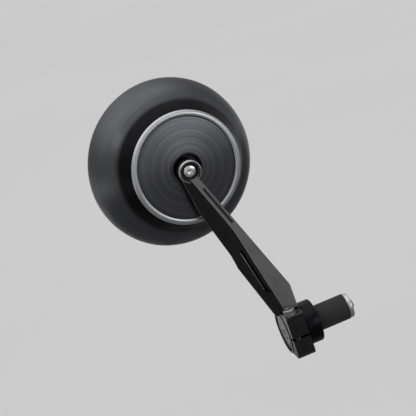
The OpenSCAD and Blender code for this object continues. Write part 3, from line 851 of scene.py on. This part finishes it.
class MIRROR_OT_bar_end(bpy.types.Operator):
    """Breaks the edges of the neck flange, retaining disc, bolt, cone and rubber"""

    bl_idname = "mirror.bar_end"
    bl_label = "Bar end"

    def execute(self, context):
        edge = context.scene.mirror_sizes.turned_edge
        pieces = [
            ("bar_adaptor", "neck_and_journal", "turned_black", "black_anodised"),
            ("retaining_disc", "outer_disc", "turned_black", "black_anodised"),
            ("expander_bolt", "long_bolt", "dark_plated_steel", "zinc_steel"),
            ("expander_cone", "cone_nut", "turned_cone", "bare_aluminium"),
            ("expander_rubber", "rubber_sleeve", "moulded_rubber", "rubber"),
        ]
        for node, name, finish, slot in pieces:
            piece = copy_of_node(node, name)
            set_finishes(piece, finish)
            break_edges(piece, edge if node != "expander_bolt" else edge / 2)
            stand_in(piece, node, "bar_end")
        return {"FINISHED"}


class MIRROR_OT_inside(bpy.types.Operator):
    """Finishes the pieces behind the disc and under the glass, and the glass and its bezel"""

    bl_idname = "mirror.inside"
    bl_label = "Glass and inner pieces"

    def execute(self, context):
        # The cup is painted near black as shade in the disc's mouth
        dress_node("ball_cup", "moulded_nylon")
        dress_node("pressure_plate", "turned_aluminium")
        dress_node("foam_pad", "open_foam")
        dress_node("mirror_glass", "silvered_glass")
        piece = copy_of_node("rubber_bezel", "glass_bezel")
        set_finishes(piece, "moulded_rubber")
        break_edges(piece, context.scene.mirror_sizes.turned_edge)
        stand_in(piece, "rubber_bezel", "head")
        return {"FINISHED"}


class MIRROR_OT_studio(bpy.types.Operator):
    """Makes the floor, the grey card, the soft light all round, the small lamp and the camera"""

    bl_idname = "mirror.studio"
    bl_label = "Studio"

    def execute(self, context):
        studio = context.scene.mirror_studio
        context.scene.view_settings.view_transform = "Standard"
        self.make_floor(studio)
        self.make_card(studio)
        self.make_soft_light(context.scene, studio)
        self.make_lamp(studio)
        self.make_camera(context.scene, studio)
        return {"FINISHED"}

    def make_floor(self, studio):
        """A wide pale floor below the mirror's lowest point."""
        clear_selection()
        bpy.ops.mesh.primitive_plane_add(
            size=FLOOR_SIZE, location=(0, 0, CAD_BOX[0].z - studio.floor_drop))
        floor = bpy.context.object
        floor.name = "floor"
        bpy.ops.object.transform_apply(location=True)
        material, tree, sockets = new_surface("pale_floor", 0.0, 0.9)
        cloud = add_node(tree, "ShaderNodeTexNoise", {
            "Vector": object_vector(tree), "Scale": 1.3, "Detail": 2.0}).outputs["Fac"]
        tree.links.new(
            toned(tree, cloud, tuple(studio.floor_colour), 0.03), sockets["Base Color"])
        sockets["Specular IOR Level"].default_value = 0.1
        floor.data.materials.append(material)

    def make_card(self, studio):
        """A grey card low in front, as a photographer lays one down to shape the reflections."""
        clear_selection()
        bpy.ops.mesh.primitive_plane_add(
            size=1, location=(*CARD_PLACE, CAD_BOX[0].z - studio.floor_drop + CARD_LIFT))
        card = bpy.context.object
        card.name = "grey_card"
        card.scale = (*CARD_SIZE, 1)
        bpy.ops.object.transform_apply(location=True, scale=True)
        material, _, sockets = new_surface("grey_card", 0.0, 0.9)
        sockets["Base Color"].default_value = (*studio.card_colour, 1.0)
        card.data.materials.append(material)
        card.visible_camera = False
        card.visible_diffuse = False
        card.visible_shadow = False

    def make_soft_light(self, scene, studio):
        """An even room with two wide soft lights in it, one overhead and one low in front."""
        world = bpy.data.worlds.new("soft_room")
        scene.world = world
        world.use_nodes = True
        tree = world.node_tree
        direction = add_node(tree, "ShaderNodeTexCoord").outputs["Generated"]
        total = studio.room_level
        for (azimuth, elevation, reach), level in (
                (OVERHEAD, studio.overhead_level), (LOW, studio.low_level)):
            across, up = math.radians(azimuth), math.radians(elevation)
            towards = (math.sin(across) * math.cos(up), -math.cos(across) * math.cos(up),
                       math.sin(up))
            facing = add_node(
                tree, "ShaderNodeVectorMath", {0: direction, 1: towards}, operation="DOT_PRODUCT")
            light = add_node(tree, "ShaderNodeMapRange", {
                "Value": facing.outputs["Value"], "From Min": math.cos(math.radians(reach)),
                "From Max": math.cos(math.radians(reach * SOFT_CORE)), "To Max": level},
                interpolation_type="SMOOTHSTEP").outputs["Result"]
            total = add_node(
                tree, "ShaderNodeMath", {0: light, 1: total}, operation="ADD").outputs[0]
        background = tree.nodes["Background"]
        background.inputs["Color"].default_value = (1.0, 1.0, 1.0, 1.0)
        tree.links.new(total, background.inputs["Strength"])

    def make_lamp(self, studio):
        """A small lamp at the upper left that puts highlights on edges and screws."""
        lamp = bpy.data.lights.new("small_lamp", "AREA")
        lamp.size = LAMP_SIZE
        lamp.energy = studio.lamp_power
        holder = bpy.data.objects.new("small_lamp", lamp)
        bpy.context.scene.collection.objects.link(holder)
        holder.location = LAMP_PLACE
        aim = (CAD_BOX[0] + CAD_BOX[1]) / 2 - LAMP_PLACE
        holder.rotation_mode = "QUATERNION"
        holder.rotation_quaternion = aim.to_track_quat("-Z", "Y")

    def make_camera(self, scene, studio):
        """The photograph's viewing direction and roll, aimed at the middle of the mirror."""
        back = Vector((-math.sin(VIEW_AZIMUTH) * math.cos(VIEW_ELEVATION),
                       -math.cos(VIEW_AZIMUTH) * math.cos(VIEW_ELEVATION),
                       math.sin(VIEW_ELEVATION)))
        right = Vector((math.cos(VIEW_AZIMUTH), -math.sin(VIEW_AZIMUTH), 0))
        up = back.cross(right)
        rolled_right = right * math.cos(VIEW_ROLL) - up * math.sin(VIEW_ROLL)
        rolled_up = back.cross(rolled_right)
        camera = bpy.data.objects.new("camera", bpy.data.cameras.new("camera"))
        scene.collection.objects.link(camera)
        camera.data.lens = studio.lens
        place = Matrix.Translation(VIEW_AIM + back * studio.distance)
        camera.matrix_world = place @ Matrix((
            (rolled_right.x, rolled_up.x, back.x, 0), (rolled_right.y, rolled_up.y, back.y, 0),
            (rolled_right.z, rolled_up.z, back.z, 0), (0, 0, 0, 1)))
        camera.data.clip_start, camera.data.clip_end = VIEW_RANGE
        scene.camera = camera


class MIRROR_PT_panel(bpy.types.Panel):
    """Buttons for the pieces, and the sizes and colours behind them"""

    bl_idname = "MIRROR_PT_panel"
    bl_label = "Bar end mirror"
    bl_space_type = "VIEW_3D"
    bl_region_type = "UI"
    bl_category = "Mirror"

    def draw(self, context):
        scene = context.scene
        for operator in OPERATORS:
            self.layout.operator(operator.bl_idname)
        for settings in (scene.mirror_sizes, scene.mirror_finishes, scene.mirror_studio):
            box = self.layout.box()
            for name in settings.__annotations__:
                box.prop(settings, name)


OPERATORS = (
    MIRROR_OT_head_shell, MIRROR_OT_polished_ring, MIRROR_OT_back_disc, MIRROR_OT_arm,
    MIRROR_OT_screws, MIRROR_OT_bar_end, MIRROR_OT_inside, MIRROR_OT_studio,
)
GROUPS = {
    "mirror_sizes": MIRROR_PG_sizes,
    "mirror_finishes": MIRROR_PG_finishes,
    "mirror_studio": MIRROR_PG_studio,
}


def register():
    """Adds the settings, the operators and the panel."""
    for kind in (*GROUPS.values(), *OPERATORS, MIRROR_PT_panel):
        bpy.utils.register_class(kind)
    for name, kind in GROUPS.items():
        setattr(bpy.types.Scene, name, PointerProperty(type=kind))


def unregister():
    """Takes them away again."""
    for name in GROUPS:
        delattr(bpy.types.Scene, name)
    for kind in (MIRROR_PT_panel, *reversed(OPERATORS), *GROUPS.values()):
        bpy.utils.unregister_class(kind)


def main():
    """Makes every piece and the studio."""
    register()
    for operator in OPERATORS:
        make = getattr(bpy.ops.mirror, operator.bl_idname.split(".")[1])
        make()


if __name__ == "__main__":
    main()
